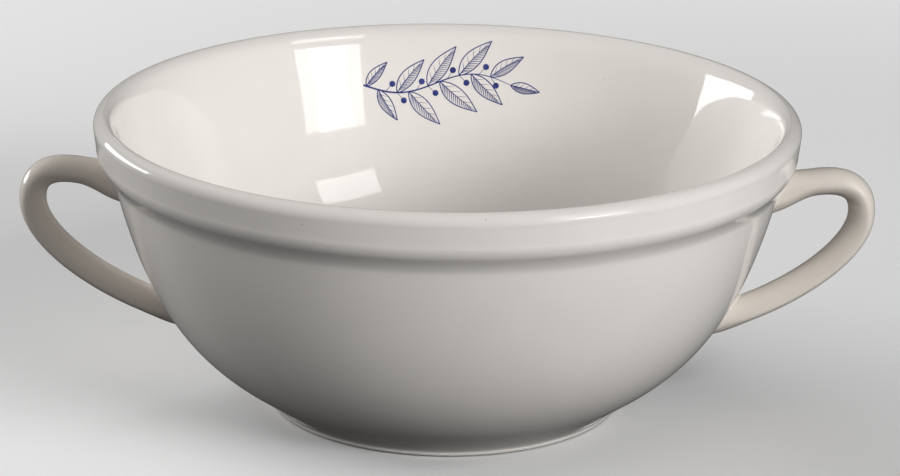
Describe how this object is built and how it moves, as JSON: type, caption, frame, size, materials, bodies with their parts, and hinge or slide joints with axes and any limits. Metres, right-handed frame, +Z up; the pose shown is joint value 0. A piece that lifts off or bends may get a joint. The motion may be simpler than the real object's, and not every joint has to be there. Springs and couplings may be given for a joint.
{
  "type": "handled soup bowl",
  "caption": "Round handled soup bowl in cream glazed stoneware, with a raised rim band, a low foot ring and loop handles at its sides, for serving and lifting hot soup.",
  "frame": {"origin": "centre of the foot ring's resting face, on the table", "axes": "+Z up along the axis the bowl is turned on, +X out through the right handle, +Y away from the side the picture is taken from"},
  "size_m": [0.1856, 0.152, 0.0652],
  "materials": {
    "cream_glaze": "gloss",
    "handle_glaze": "gloss",
    "slip_under_glaze": "gloss",
    "blue_print": "gloss"
  },
  "bodies": {
    "root": {"bowl_body": "cream_glaze", "left_handle": "handle_glaze", "right_handle": "handle_glaze", "left_upper_slip_joint": "slip_under_glaze", "left_lower_slip_joint": "slip_under_glaze", "right_upper_slip_joint": "slip_under_glaze", "right_lower_slip_joint": "slip_under_glaze"}
  },
  "joints": []
}
